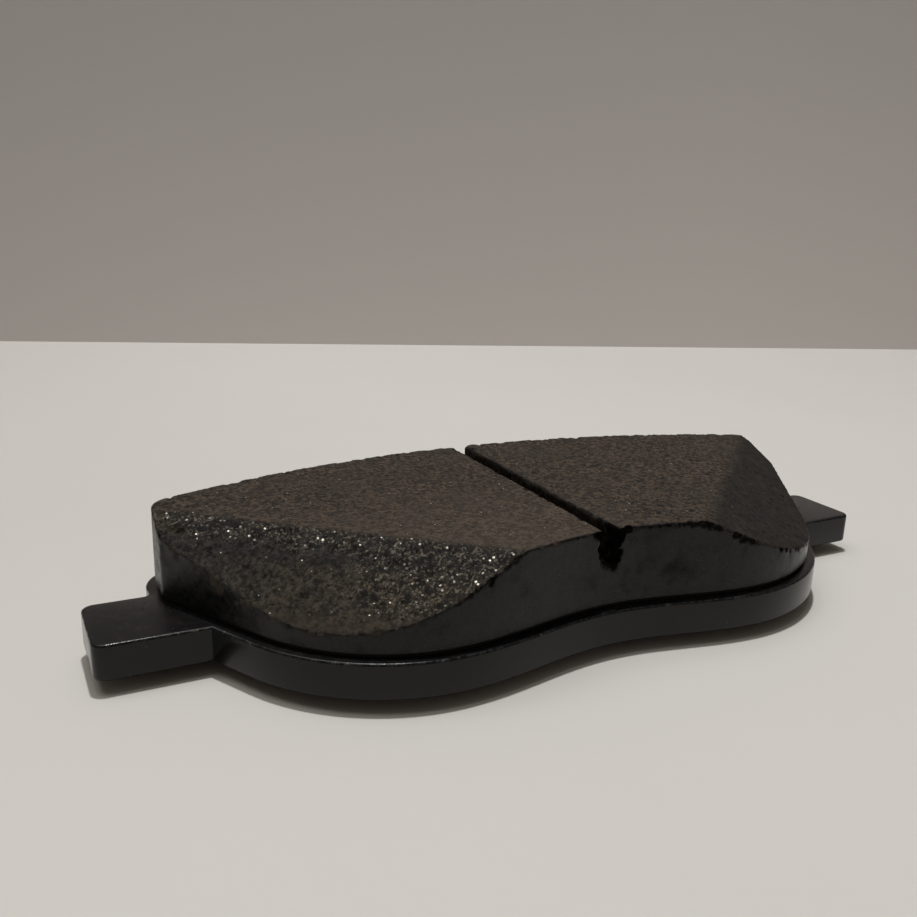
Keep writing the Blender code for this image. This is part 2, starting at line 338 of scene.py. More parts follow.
class Finish:
    """A material, and the calls that build its nodes."""

    def __init__(self, name):
        self.material = bpy.data.materials.new(name)
        self.material.use_nodes = True
        self.tree = self.material.node_tree
        self.shader = self.tree.nodes["Principled BSDF"]
        self.place = self.add("ShaderNodeTexCoord", output="Object")

    def add(self, kind, settings=None, inputs=None, output=None):
        """Adds a node. Its settings are set first, then its sockets by identifier."""
        node = self.tree.nodes.new(kind)
        for key, value in (settings or {}).items():
            setattr(node, key, value)
        sockets = {socket.identifier: socket for socket in node.inputs}
        for key, value in (inputs or {}).items():
            self.feed(sockets[key], value)
        outputs = {socket.identifier: socket for socket in node.outputs if socket.enabled}
        return Wire(self, outputs[output] if output else next(iter(outputs.values())))

    def feed(self, socket, value):
        if isinstance(value, Wire):
            self.tree.links.new(value.socket, socket)
        elif socket.type == "RGBA":
            socket.default_value = (*value, 1.0)
        else:
            socket.default_value = value

    def set(self, **values):
        """Feeds the shader's sockets, named as words joined by underscores."""
        for key, value in values.items():
            words = key.replace("_", " ").title().replace("Ior", "IOR")
            self.feed(self.shader.inputs[words], value)

    def between(self, value, low, high, to_low=0.0, to_high=1.0, smooth=True):
        """Carries a range of a number to another, held at its ends."""
        settings = {"interpolation_type": "SMOOTHSTEP" if smooth else "LINEAR", "clamp": True}
        ends = {"From Min": low, "From Max": high, "To Min": to_low, "To Max": to_high}
        return self.add("ShaderNodeMapRange", settings, {"Value": value, **ends})

    def shade_hollows(self, share, colour):
        """Mixes a dull dark surface into the shader, for holes that light doesn't reach."""
        painted_shade = self.add("ShaderNodeBsdfDiffuse", None, {"Color": colour})
        surface = Wire(self, self.shader.outputs["BSDF"])
        inputs = {"Fac": share, "Shader": surface, "Shader_001": painted_shade}
        mixed = self.add("ShaderNodeMixShader", None, inputs)
        output = self.tree.nodes["Material Output"]
        self.tree.links.new(mixed.socket, output.inputs["Surface"])

    def moved(self, offset=(0, 0, 0), scale=(1, 1, 1), turn=(0, 0, 0)):
        """The place on the piece, moved, stretched and turned for a pattern."""
        inputs = {"Vector": self.place, "Location": offset, "Rotation": turn, "Scale": scale}
        return self.add("ShaderNodeMapping", None, inputs)

    def clouds(self, size, detail=2.0, roughness=0.5, place=None, offset=None):
        """Noise of about 0 to 1 with lumps of the given size in metres."""
        if offset:
            place = self.moved(offset)
        inputs = {"Vector": place or self.place, "Scale": 1 / size}
        inputs.update({"Detail": detail, "Roughness": roughness})
        return self.add("ShaderNodeTexNoise", None, inputs)

    def cells(self, size, output="Distance"):
        """How far a point is from the middle of its cell, in cells of the given size in metres."""
        inputs = {"Vector": self.place, "Scale": 1 / size}
        return self.add("ShaderNodeTexVoronoi", {"feature": "F1"}, inputs, output)

    def cell_number(self, size, channel):
        """A number from 0 to 1 for each cell. Red, Green and Blue give different numbers."""
        colour = self.cells(size, "Color")
        return self.add("ShaderNodeSeparateColor", None, {"Color": colour}, channel)

    def spots(self, size, channel, chosen, disc):
        """Round spots in some of the cells. Chosen is the range of a cell's number in which spots
        come in, and disc the two distances from its middle between which a spot fades out."""
        picked = self.between(self.cell_number(size, channel), *chosen)
        return picked * self.between(self.cells(size), *disc, 1, 0)

    def mix(self, factor, first, second):
        """One colour below a factor of 0, the other above 1."""
        inputs = {"Factor_Float": factor, "A_Color": first, "B_Color": second}
        return self.add("ShaderNodeMix", {"data_type": "RGBA"}, inputs, "Result_Color")

    def attribute(self, name):
        """A number that the piece's points carry."""
        settings = {"attribute_type": "GEOMETRY", "attribute_name": name}
        return self.add("ShaderNodeAttribute", settings, None, "Fac")

    def normal_part(self, axis):
        normal = self.add("ShaderNodeNewGeometry", output="Normal")
        return self.add("ShaderNodeSeparateXYZ", None, {"Vector": normal}, axis)

    def place_part(self, axis):
        return self.add("ShaderNodeSeparateXYZ", None, {"Vector": self.place}, axis)

    def bump(self, height, depth, strength=1.0, below=None):
        """A bump whose height of 1 stands depth metres proud."""
        inputs = {"Height": height, "Distance": depth, "Strength": strength}
        if below:
            inputs["Normal"] = below
        return self.add("ShaderNodeBump", None, inputs)


def plate_paint():
    """Satin black electro-coat: a fine orange peel, dust, and the coat thin along the edges."""
    finish = Finish("satin black plate paint")
    peel = finish.clouds(0.9 * MM, detail=3, roughness=0.55)
    fine = finish.clouds(0.22 * MM, detail=2)
    haze = finish.clouds(9 * MM, detail=4, roughness=0.6, offset=(0.3, 0.1, 0.2))
    speck = finish.spots(0.75 * MM, "Red", (0.955, 0.99), (0.10, 0.26))
    upward = finish.normal_part("Z")
    level = finish.between(upward, 0.90, 0.99)
    shoulder = finish.between(upward, 0.15, 0.45) * finish.between(upward, 0.86, 0.97, 1, 0)
    thin_here = finish.between(finish.clouds(2.6 * MM, detail=4, roughness=0.7), 0.55, 0.68)
    wear = shoulder * thin_here * finish.between(fine, 0.42, 0.58)
    coat = finish.mix(finish.between(haze, 0.35, 0.65), PAINT_DARK, PAINT_LIGHT)
    dust = finish.between(finish.clouds(1.6 * MM, detail=5, roughness=0.7), 0.40, 0.70)
    coat = finish.mix(level * dust * 0.5, coat, (0.0200, 0.0140, 0.0105))
    dusty = finish.mix(speck * 0.4, coat, (0.09, 0.08, 0.07))
    colour = finish.mix(wear * 0.8, dusty, (0.14, 0.13, 0.12))
    scraped = shoulder * finish.between(peel, 0.45, 0.58)
    gloss = 0.09 + haze * 0.10 + fine * 0.05 + level * 0.10 + scraped * 0.40
    skin = finish.bump(peel, 0.014 * MM, 0.5)
    skin = finish.bump(fine, 0.005 * MM, 0.6, skin)
    finish.set(base_color=colour, roughness=gloss, metallic=wear * 0.7, normal=skin)
    finish.set(specular_ior_level=0.30)
    return finish.material


def ground_face(finish, grit, patch):
    """The rubbing face: brown-grey grains in lighter and darker patches, with motes."""
    broad = finish.clouds(14 * MM, detail=4, roughness=0.55)
    grain = finish.between(grit, 0.40, 0.62)
    colour = finish.mix(grain, (0.0048, 0.0035, 0.0026), (0.0685, 0.0490, 0.0332))
    colour = finish.mix(finish.between(patch, 0.56, 0.72) * 0.5, colour, (0.066, 0.048, 0.032))
    colour = finish.mix(finish.between(patch, 0.46, 0.32) * 0.45, colour, (0.0150, 0.0112, 0.0082))
    colour = finish.mix(finish.between(broad, 0.42, 0.60) * 0.3, colour, (0.030, 0.0235, 0.0175))
    mote = finish.spots(0.40 * MM, "Green", (0.76, 0.95), (0.14, 0.36))
    colour = finish.mix(mote * 0.85, colour, (0.155, 0.118, 0.076))
    forward = finish.between(finish.place_part("Y"), 10 * MM, -16 * MM)
    leftward = finish.between(finish.place_part("X"), 8 * MM, -4 * MM)
    colour = finish.mix(forward * leftward * 0.20, colour, (0.105, 0.080, 0.057))
    rosy = finish.spots(0.70 * MM, "Blue", (0.86, 0.96), (0.16, 0.40))
    return finish.mix(rosy * 0.6, colour, (0.088, 0.053, 0.042))


def torn_face(finish, grit, clump, earthy, worn, settled):
    """The torn chamfer: slate-grey grit near its ridge, clay-brown lower down, and dark clumps."""
    grain = finish.between(grit, 0.36, 0.64)
    slate = finish.mix(grain, (0.0038, 0.0033, 0.0029), (0.0345, 0.0293, 0.0255))
    clay = finish.mix(grain, (0.0068, 0.0054, 0.0040), (0.058, 0.0450, 0.0315))
    colour = finish.mix(earthy, slate, clay)
    colour = finish.mix(clump, colour, (0.0060, 0.0050, 0.0044))
    colour = finish.mix(worn * 0.35, colour, (0.100, 0.080, 0.055))
    return finish.mix(settled * 0.55, colour, (0.036, 0.0278, 0.0190))


def glazed_face(finish, grit, patch):
    """The glazed chamfer, darker and smoother than the rubbing face."""
    grain = finish.between(grit, 0.40, 0.60)
    colour = finish.mix(grain, (0.0022, 0.0016, 0.0012), (0.0205, 0.0150, 0.0112))
    return finish.mix(finish.between(patch, 0.48, 0.70) * 0.5, colour, (0.034, 0.0254, 0.0190))


def wall_coat(finish, mottle, scuffed):
    """The black coat on the walls: mottled, thin in places and scuffed bright at one spot."""
    colour = finish.mix(mottle, (0.0022, 0.0024, 0.0027), (0.0080, 0.0082, 0.0086))
    bare = finish.between(finish.clouds(1.7 * MM, detail=4, roughness=0.7), 0.60, 0.70) * 0.5
    colour = finish.mix(bare, colour, (0.014, 0.0118, 0.0098))
    streaks = finish.clouds(0.7 * MM, detail=3, place=finish.moved(scale=(1, 1, 0.3)))
    scuff = scuffed * finish.between(streaks, 0.42, 0.60)
    return finish.mix(scuff, colour, (0.78, 0.78, 0.79))


def steel_glints(finish, sparkle, glazed):
    """Steel flecks, larger and closer together in the bright band, and fewer on the glaze."""
    size = 0.58 * MM
    rarity = 0.969 - sparkle * 0.099 + glazed * 0.022
    inner, outer = 0.13 + sparkle * 0.12, 0.24 + sparkle * 0.15
    chosen = finish.cell_number(size, "Red") > rarity
    glint = chosen * finish.between(finish.cells(size), inner, outer, 1, 0)
    shine = finish.between(finish.cell_number(size, "Green"), 0.0, 1.0, 0.35, 1.0)
    return glint, shine


def friction_compound():
    """Moulded lining: ground brown-grey on top, torn and gritty on one chamfer, glazed on the
    other, with steel and brass flecks, and a black coat on the walls."""
    finish = Finish("friction compound")
    coated, torn, glazed = map(finish.attribute, ("coated", "torn", "glazed"))
    hollow_shade, worn, scuffed = map(finish.attribute, ("hollow_shade", "worn", "scuffed"))
    sparkle, earthy, settled = map(finish.attribute, ("sparkle", "earthy", "settled"))

    patch = finish.clouds(2.4 * MM, detail=3, roughness=0.6, offset=(0.2, 0.5, 0.1))
    grit = finish.clouds(0.70 * MM, detail=4, roughness=0.72, offset=(0.7, 0.2, 0.4))
    powder = finish.clouds(0.20 * MM, detail=2, roughness=0.6)
    clump = finish.clouds(1.7 * MM, detail=4, roughness=0.65, offset=(0.6, 0.3, 0.8))
    clump = finish.between(clump, 0.50, 0.60) * (0.35 + sparkle * 0.5)

    ground, smooth = ground_face(finish, grit, patch), glazed_face(finish, grit, patch)
    gritty = torn_face(finish, grit, clump, earthy, worn, settled)
    lining = finish.mix(torn, finish.mix(glazed, ground, smooth), gritty)
    # dark spots painted as the shade of tiny pits, which have no depth here
    pit = finish.spots(0.85 * MM, "Green", (0.84, 0.92), (0.16, 0.38))
    lining = finish.mix(pit * (0.70 + torn * 0.15), lining, (0.0055, 0.0045, 0.0040))
    brass = finish.spots(0.62 * MM, "Blue", (0.955, 0.975), (0.12, 0.30)) * (1 - glazed * 0.8)
    lining = finish.mix(brass, lining, (0.17, 0.12, 0.065))
    crumb = finish.clouds(0.42 * MM, detail=2, roughness=0.6, offset=(0.1, 0.9, 0.3))
    crumb = finish.between(crumb, 0.53, 0.64) * sparkle * torn * (1 - clump * 0.9)
    lining = finish.mix(crumb * 0.85, lining, (0.160, 0.134, 0.100))
    glint, shine = steel_glints(finish, sparkle, glazed)
    glint = glint * (1 - hollow_shade) * (1 - clump * torn * 0.8)
    lining = finish.mix(glint * shine, lining, (0.60, 0.55, 0.47))

    mottle = finish.between(finish.clouds(0.8 * MM, detail=3, roughness=0.6), 0.35, 0.70)
    coat_left = coated * (1 - worn * finish.between(patch, 0.45, 0.60))
    colour = finish.mix(coat_left, lining, wall_coat(finish, mottle, scuffed))
    relief = grit * 0.6 + powder * 0.4
    skin = finish.bump(relief, 0.16 * MM, 0.75 - coated * 0.54)
    skin = finish.bump(finish.cells(0.46 * MM), 0.10 * MM, torn * 0.7, skin)
    metal = (glint * 0.85 + brass * 0.4) * (1 - coat_left)
    gloss = 0.86 - metal * 0.50 - coat_left * (0.64 - mottle * 0.10) + powder * 0.10
    finish.set(base_color=colour, metallic=metal, roughness=gloss, normal=skin)
    finish.set(specular_ior_level=0.28)
    smudge = finish.between(finish.clouds(3.6 * MM, detail=4, roughness=0.6), 0.46, 0.78)
    smudge = smudge * finish.between(finish.clouds(11 * MM, offset=(0.4, 0.4, 0.1)), 0.36, 0.56)
    # painted shade in the hollows and the slot, and dark smudges on the coat, are mixed in as one
    # dull dark surface
    dull = hollow_shade * 0.98 + coat_left * smudge * 0.60
    finish.shade_hollows(dull.clamped(), (0.0026, 0.0022, 0.0019))
    return finish.material


def film_finish():
    """Cured adhesive, dark brown, squeezed out unevenly."""
    finish = Finish("bonding film")
    lumps = finish.clouds(0.6 * MM, detail=3)
    colour = finish.mix(lumps, (0.003, 0.0026, 0.0022), (0.010, 0.008, 0.006))
    finish.set(base_color=colour, roughness=0.55 + lumps * 0.3, specular_ior_level=0.25)
    finish.set(normal=finish.bump(lumps, 0.15 * MM))
    return finish.material


def rubber_finish():
    """Damping rubber at the edge of the shim."""
    finish = Finish("damping rubber")
    bloom = finish.clouds(1.2 * MM, detail=4, roughness=0.6)
    colour = finish.mix(bloom, (0.008, 0.008, 0.008), (0.020, 0.019, 0.018))
    finish.set(base_color=colour, roughness=0.62 + bloom * 0.2)
    finish.set(normal=finish.bump(bloom, 0.05 * MM))
    return finish.material


def shim_finish():
    """Rolled zinc-coated steel: long rolling marks, faint spangle, scratches and a grey film."""
    finish = Finish("shim steel")
    along = finish.moved(scale=(0.035, 1, 1))
    rolled = finish.clouds(1.0 * MM, detail=4, roughness=0.65, place=along)
    spangle = finish.cell_number(4.2 * MM, "Red")
    film = finish.clouds(11 * MM, detail=5, roughness=0.6)
    aslant = finish.moved(scale=(0.02, 1, 1), turn=(0, 0, 0.45))
    scratch = finish.between(finish.clouds(0.5 * MM, detail=2, place=aslant), 0.69, 0.72)
    colour = finish.mix(finish.between(film, 0.35, 0.68), (0.20, 0.20, 0.205), (0.31, 0.305, 0.295))
    colour = finish.mix(spangle * 0.25, colour, (0.40, 0.40, 0.41))
    colour = finish.mix(scratch * 0.7, colour, (0.52, 0.51, 0.50))
    gloss = 0.36 + rolled * 0.16 + film * 0.10 - spangle * 0.05
    skin = finish.bump(rolled, 0.010 * MM, 0.7)
    skin = finish.bump(scratch, 0.010 * MM, 0.5, skin)
    finish.set(base_color=colour, metallic=0.92, roughness=gloss, normal=skin)
    return finish.material


def rivet_finish():
    """Bright steel rivets, scuffed where the pad has lain on them."""
    finish = Finish("rivet steel")
    tumble = finish.clouds(0.5 * MM, detail=4, roughness=0.65)
    scuff = finish.between(finish.clouds(1.6 * MM, detail=3), 0.52, 0.60)
    colour = finish.mix(tumble, (0.33, 0.32, 0.30), (0.50, 0.49, 0.47))
    colour = finish.mix(scuff * 0.5, colour, (0.24, 0.22, 0.20))
    skin = finish.bump(tumble, 0.015 * MM, 0.7)
    finish.set(base_color=colour, metallic=1.0, roughness=0.30 + tumble * 0.2, normal=skin)
    return finish.material


def paper_finish():
    """Plain off-white paper under the pad, with painted shade that darkens it towards the back
    left.
    """
    finish = Finish("pale paper")
    tone = finish.clouds(0.12, detail=3, roughness=0.5)
    fibre = finish.clouds(0.5 * MM, detail=4, roughness=0.6)
    colour = finish.mix(tone, (0.60, 0.575, 0.535), (0.635, 0.608, 0.570))
    # painted shade, darkest towards the back left
    leftward = finish.between(finish.place_part("X"), 0.06, -0.12)
    behind = finish.between(finish.place_part("Y"), -0.04, 0.08)
    colour = finish.mix(leftward * behind * 0.5, colour, (0.52, 0.485, 0.445))
    finish.set(base_color=colour, roughness=0.85, specular_ior_level=0.25)
    finish.set(normal=finish.bump(fibre, 0.02 * MM, 0.4))
    return finish.material


def wall_finish():
    """Plain grey-brown board behind the pad, with painted shade: darker towards its top and towards
    its left.
    """
    finish = Finish("grey board")
    tone = finish.clouds(0.25, detail=3, roughness=0.5)
    # painted shade: the board darkens upwards and towards the left
    height = finish.between(finish.place_part("Z"), 0.0, 0.17, smooth=False)
    rightward = finish.between(finish.place_part("X"), -0.12, 0.22, smooth=False)
    left = finish.mix(height, (0.585, 0.548, 0.527), (0.385, 0.365, 0.355))
    right = finish.mix(height, (0.675, 0.635, 0.610), (0.460, 0.435, 0.415))
    colour = finish.mix(rightward, left, right)
    colour = finish.mix(tone * 0.12, colour, (0.40, 0.37, 0.34))
    finish.set(base_color=colour, roughness=0.9, specular_ior_level=0.2)
    return finish.material


# The moulding: friction block and underlayer, cut from one lump so that their walls run on


def chamfer_plane(end):
    """A point on a chamfer's upper edge, and the chamfer's outward normal, on the datum."""
    side, start_x, ridge_angle, slope = CHAMFERS[end]
    outward = Vector((side * math.sin(ridge_angle), -math.cos(ridge_angle), 0))
    normal = outward * math.sin(slope) + Vector((0, 0, math.cos(slope)))
    return Vector((side * start_x, CHAMFER_START_Y, RUBBING_Z)), normal


def ridge_run(end):
    """The direction of a chamfer's upper edge, outwards along the pad."""
    side, _, ridge_angle, _ = CHAMFERS[end]
    return Vector((side * math.cos(ridge_angle), math.sin(ridge_angle), 0))


def moulding_lump():
    """The moulding's plain solid, run on below its foot so that the cut there is clean."""
    shape = slab(block_outline(), UNDERLAYER_Z - FOOT_SPARE, RUBBING_Z)
    for end in CHAMFERS:
        opening = cut_away(shape, *chamfer_plane(end), 1e-7)
        bmesh.ops.contextual_create(shape, geom=opening)
    bmesh.ops.recalc_face_normals(shape, faces=shape.faces)
    ys = [y for _, y in block_outline()]
    low, high = min(ys) - 2 * MM, max(ys) + 2 * MM
    slot = bmesh.new()
    made = bmesh.ops.create_cube(slot, size=1)
    bmesh.ops.scale(slot, verts=made["verts"], vec=(SLOT_WIDTH, high - low, SLOT_DEPTH * 2))
    bmesh.ops.translate(slot, verts=made["verts"], vec=(SLOT_X, (low + high) / 2, RUBBING_Z))
    return cut_and_grained(shape, slot)


def ramp(value, low, high):
    """0 below low, 1 above high, smooth between, for arrays."""
    t = np.clip((value - low) / (high - low), 0, 1)
    return t * t * (3 - 2 * t)


def lumps(points, size, octaves=3, shift=0.0):
    """Fractal noise of about -1 to 1 at each point."""
    moved = Vector((shift, shift * 0.7, shift * 1.3))
    return np.array([noise.fractal(Vector(p) / size + moved, 1.0, 2.0, octaves) for p in points])


def grains(points, size, shift=0.0):
    """How deep each point lies between grains: 0 at a grain's middle, about 1 at its border."""
    moved = Vector((shift, shift, shift))
    found = (noise.voronoi(Vector(p) / size + moved)[0] for p in points)
    return np.array([near[0] / max(near[1], 1e-6) for near in found])


def rim_point(x):
    """Where the moulding's front wall ends at x, on the rubbing face or down a chamfer."""
    front = sorted(p for p in block_outline() if p[1] < FRONT_TO_Y)
    y = float(np.interp(x, [p[0] for p in front], [p[1] for p in front]))
    on_face = Vector((x, y, RUBBING_Z))
    drop = 0.0
    for end in CHAMFERS:
        point, normal = chamfer_plane(end)
        drop = max(drop, (on_face - point).dot(normal) / normal.z)
    return on_face - Vector((0, 0, drop))


class Moulding:
    """The points of the remeshed lump, what each is part of, its wear, and the shade painted into
    its hollows.
    """

    def __init__(self, shape):
        self.shape = shape
        shape.verts.ensure_lookup_table()
        shape.normal_update()
        self.points = np.array([v.co for v in shape.verts])
        self.normals = np.array([v.normal for v in shape.verts])
        self.tree = kdtree.KDTree(len(self.points))
        for index, point in enumerate(self.points):
            self.tree.insert(point, index)
        self.tree.balance()
        self.hollow_shade = np.zeros(len(self.points))
        self.find_sides()
        self.find_finishes()

    def find_sides(self):
        """How far each point belongs to the rubbing face, a chamfer, the slot or a wall."""
        up = self.normals[:, 2]
        depth = RUBBING_Z - self.points[:, 2]
        self.chamfer, self.beyond = {}, {}
        for end, (_, _, _, slope) in CHAMFERS.items():
            point, normal = (np.array(v) for v in chamfer_plane(end))
            gap = (self.points - point) @ normal
            facing = self.normals @ normal
            self.chamfer[end] = ramp(gap, -0.5 * MM, -0.1 * MM) * ramp(facing, 0.80, 0.93)
            self.beyond[end] = (self.points - point)[:, :2] @ normal[:2] / math.sin(slope)
        self.top = ramp(up, 0.90, 0.97) * (1 - ramp(depth, 0.1 * MM, 0.4 * MM))
        across = np.abs(self.points[:, 0] - SLOT_X)
        inside = across < SLOT_WIDTH / 2 + 0.15 * MM
        self.slot = inside * ramp(depth, 0.1 * MM, 0.5 * MM) * (depth < SLOT_DEPTH + 0.3 * MM)
        open_air = np.maximum(self.top, np.maximum(self.chamfer["left"], self.chamfer["right"]))
        self.wall = (1 - open_air) * (1 - self.slot)

    def find_finishes(self):
        """Where each look of the lining lies, by the distance along a chamfer's ridge and down
        its slope."""
        point, normal = (np.array(v) for v in chamfer_plane("left"))
        along = (self.points - point) @ np.array(ridge_run("left"))
        down = self.beyond["left"] + lumps(self.points, 3.5 * MM, 2, 5.5) * 0.9 * MM
        by_ridge = ramp(down, -0.9 * MM, 0.0) * (1 - ramp(down, 1.8 * MM, 4.0 * MM))
        by_front = (1 - ramp(along, 15 * MM, 27 * MM)) * (1 - ramp(down, 8.5 * MM, 11.0 * MM))
        open_side = np.maximum(self.chamfer["left"], self.top)
        self.sparkle = np.maximum(by_ridge, by_front * self.chamfer["left"]) * open_side
        self.earthy = ramp(down, 3.0 * MM, 6.5 * MM) * (1 - 0.6 * ramp(along, 30 * MM, 42 * MM))
        flat = np.maximum(self.chamfer["right"], self.top)
        drift = lumps(self.points, 4.0 * MM, 2, 2.2) * 0.6 * MM
        self.glazed = flat * ramp(self.beyond["right"] + drift, -1.2 * MM, 1.6 * MM)
        self.scuffed = self.wall * self.near(rim_point(42.5 * MM), 1.8 * MM, 3.6 * MM)
        below = -(self.points - point) @ normal
        at_end = ramp(-self.points[:, 0], 44 * MM, 52 * MM)
        self.worn = 0.75 * (1 - ramp(below, 0.4 * MM, 2.6 * MM)) * at_end * self.wall
        low = ramp(down, 9.5 * MM, 12 * MM) * ramp(along, 8 * MM, 14 * MM)
        self.settled = low * (1 - ramp(along, 28 * MM, 34 * MM)) * self.chamfer["left"]

    def near(self, place, inner, outer):
        """1 within the inner distance of a place, 0 beyond the outer one."""
        distance = np.linalg.norm(self.points - np.array(place), axis=1)
        return 1 - ramp(distance, inner, outer)

    def push(self, amount):
        """Moves each point along its normal."""
        self.points = self.points + self.normals * amount[:, None]

    def soften_ridge(self, end, blend):
        """Rolls the rubbing face into a chamfer instead of a crease."""
        fall = np.abs(self.beyond[end]) * math.tan(CHAMFERS[end][3])
        lowered = blend / 4 * np.clip(1 - fall / blend, 0, 1) ** 2
        self.points[:, 2] -= lowered * np.maximum(self.top, self.chamfer[end])

    def texture(self):
        """Grain on every side, a ragged rear edge, and soft ridges above the chamfers."""
        p = self.points
        fine = lumps(p, 0.9 * MM, 3)
        coarse = lumps(p, 2.6 * MM, 3, 3.1)
        grit = 0.55 - grains(p, 1.05 * MM, 0.4)
        torn = self.chamfer["left"]
        patchy = 0.35 + 0.45 * self.sparkle + 0.2 * ramp(lumps(p, 9 * MM, 2, 8.3), -0.4, 0.5)
        self.push(self.top * (0.040 * fine + 0.012 * coarse) * MM)
        self.push(torn * patchy * (0.20 * coarse + 0.14 * fine + 0.30 * grit) * MM)
        self.push(self.chamfer["right"] * (0.05 * coarse + 0.03 * fine) * MM)
        self.push(self.wall * (0.030 * coarse + 0.010 * fine) * MM)
        self.push(self.slot * (0.10 * coarse + 0.08 * fine) * MM)
        from_middle = np.hypot(p[:, 0] - CORE_OFFSET, p[:, 1] - (BLOCK_CROWN - OUTER_RADIUS))
        at_rear = ramp(from_middle, OUTER_RADIUS - 1.8 * MM, OUTER_RADIUS - 0.3 * MM)
        ragged = lumps(p, 1.3 * MM, 2, 7.7) * 0.20 - 0.04
        upper = np.maximum(self.top, np.maximum(torn, self.chamfer["right"]))
        self.points[:, 2] += at_rear * ragged * MM * upper
        self.soften_ridge("right", 1.2 * MM)
        self.soften_ridge("left", 0.5 * MM)

    def scoop(self, centre, radius, dark, worn):
        """Pushes points out of a sphere, as where a crumb has broken away, and paints shade as
        strong as dark into the hollow.
        """
        for _, index, _ in self.tree.find_range(centre, radius * 1.6):
            offset = Vector(self.points[index]) - centre
            distance = offset.length
            if distance < radius:
                self.points[index] = centre + offset * (radius / max(distance, 1e-9))
                self.hollow_shade[index] = max(self.hollow_shade[index], dark)
            edge = 1 - min(distance / (radius * 1.35), 1.0)
            self.worn[index] = max(self.worn[index], worn * min(edge * 3, 1.0))

    def pit(self, centre, radius, depth, dark):
        """Sinks a round dish into the surface, with shade as strong as dark painted into it."""
        for _, index, distance in self.tree.find_range(centre, radius):
            amount = (1 - (distance / radius) ** 2) ** 1.5
            self.points[index] -= self.normals[index] * depth * amount
            self.hollow_shade[index] = max(self.hollow_shade[index], dark * amount)

    def crumble(self, path, spacing, radii, bite, seed, worn=1.0, lean=0.5):
        """Breaks crumbs away along an edge. Spacing, radii and bite, which is how far the spheres
        reach into it, are in millimetres. Lean turns them from the upper side, at 0, to the
        outer side, at 1."""
        draw = np.random.default_rng(seed)
        length = sum((b - a).length for a, b in zip(path, path[1:]))
        for _ in range(int(length / (spacing * MM))):
            spot = point_along(path, draw.random() * length)
            radius = draw.uniform(*radii) * draw.uniform(0.6, 1.0) * MM
            reach = radius - bite * draw.uniform(0.35, 1.0) * MM
            shake = Vector(draw.uniform(-0.25, 0.25, 3) * MM)
            centre = spot + edge_outward(spot, lean) * reach + shake
            self.scoop(centre, radius, 0.5 * draw.random(), worn)

    def scatter_pits(self, where, count, radii, depths, seed, dark=0.6):
        """Sinks pits at random points of one side. Radii and depths are in millimetres."""
        draw = np.random.default_rng(seed)
        spots = np.flatnonzero(where > 0.8)
        for index in draw.choice(spots, count):
            radius, depth = draw.uniform(*radii) * MM, draw.uniform(*depths) * MM
            self.pit(Vector(self.points[index]), radius, depth, draw.uniform(0.1, dark))

    def chip_rim(self, chips, seed):
        """Single chips in the front rim, as (x, size) in millimetres, each a cluster of scoops."""
        draw = np.random.default_rng(seed)
        for x, size in chips:
            for _ in range(9):
                spot = rim_point((x + draw.normal(0, 0.9) * size) * MM)
                spot.z -= abs(draw.normal(0, 0.35)) * size * MM
                radius = draw.uniform(0.22, 0.60) * size * MM
                outward = edge_outward(spot, 0.85)
                reach = draw.uniform(0.2, 0.7)
                self.scoop(spot + outward * radius * reach, radius, draw.uniform(0.5, 0.95), 0.2)

    def break_slot_mouth(self):
        """Breaks the front end of the slot, wide at the top and narrow at its floor, and paints
        shade into it.
        """
        draw = np.random.default_rng(FIRST_SEED + 20)
        mouth = rim_point(SLOT_X)
        both_sides_to = 3.6 * MM
        for level in np.linspace(0, SLOT_DEPTH - 0.5 * MM, 16):
            for side in (-1, 1) if level < both_sides_to else (1,):
                flare = max(0, 1 - level / (1.8 * MM)) * 1.5 * MM
                spread = side * (SLOT_WIDTH / 2 + flare * draw.uniform(0.4, 1.0))
                shake = Vector(draw.uniform(-0.25, 0.25, 3) * MM)
                radius = draw.uniform(0.45, 0.85) * MM
                centre = mouth + Vector((spread, -0.45 * radius, -level)) + shake
                self.scoop(centre, radius, 1.0, 0.0)
        ragged = lumps(self.points, 1.0 * MM, 3, 6.1) * 0.55 * MM
        across = np.abs(self.points[:, 0] - SLOT_X) + ragged
        behind = self.points[:, 1] - mouth.y
        self.shade_slot_mouth(across, behind)
        self.lift_slot_floor(across, behind)

    def shade_slot_mouth(self, across, behind):
        """Paints shade into the broken mouth and, ever less, into the slot behind it."""
        points = self.points
        depth = RUBBING_Z - points[:, 2]
        flare = 1.9 * MM * (1 - ramp(depth, 0.0, 2.6 * MM)) * (1 - ramp(behind, 0.6 * MM, 3 * MM))
        half_width = SLOT_WIDTH / 2 + 0.25 * MM + flare
        narrowed = 2.0 * MM * ramp(depth, 3.2 * MM, 6.2 * MM) * (points[:, 0] < SLOT_X + 0.5 * MM)
        narrowed = narrowed * (1 - ramp(behind, 0.5 * MM, 2 * MM))
        # painted shade, full within the mouth's ragged outline and fading at its sides
        painted_shade = 1 - ramp(across + narrowed, half_width - 0.25 * MM, half_width + 0.25 * MM)
        above_floor = 1 - ramp(depth, SLOT_DEPTH + 0.1 * MM, SLOT_DEPTH + 0.5 * MM)
        inside = (1 - ramp(behind, 2 * MM, 11 * MM)) * above_floor
        self.hollow_shade = np.maximum(self.hollow_shade, painted_shade * inside * (1 - self.top))

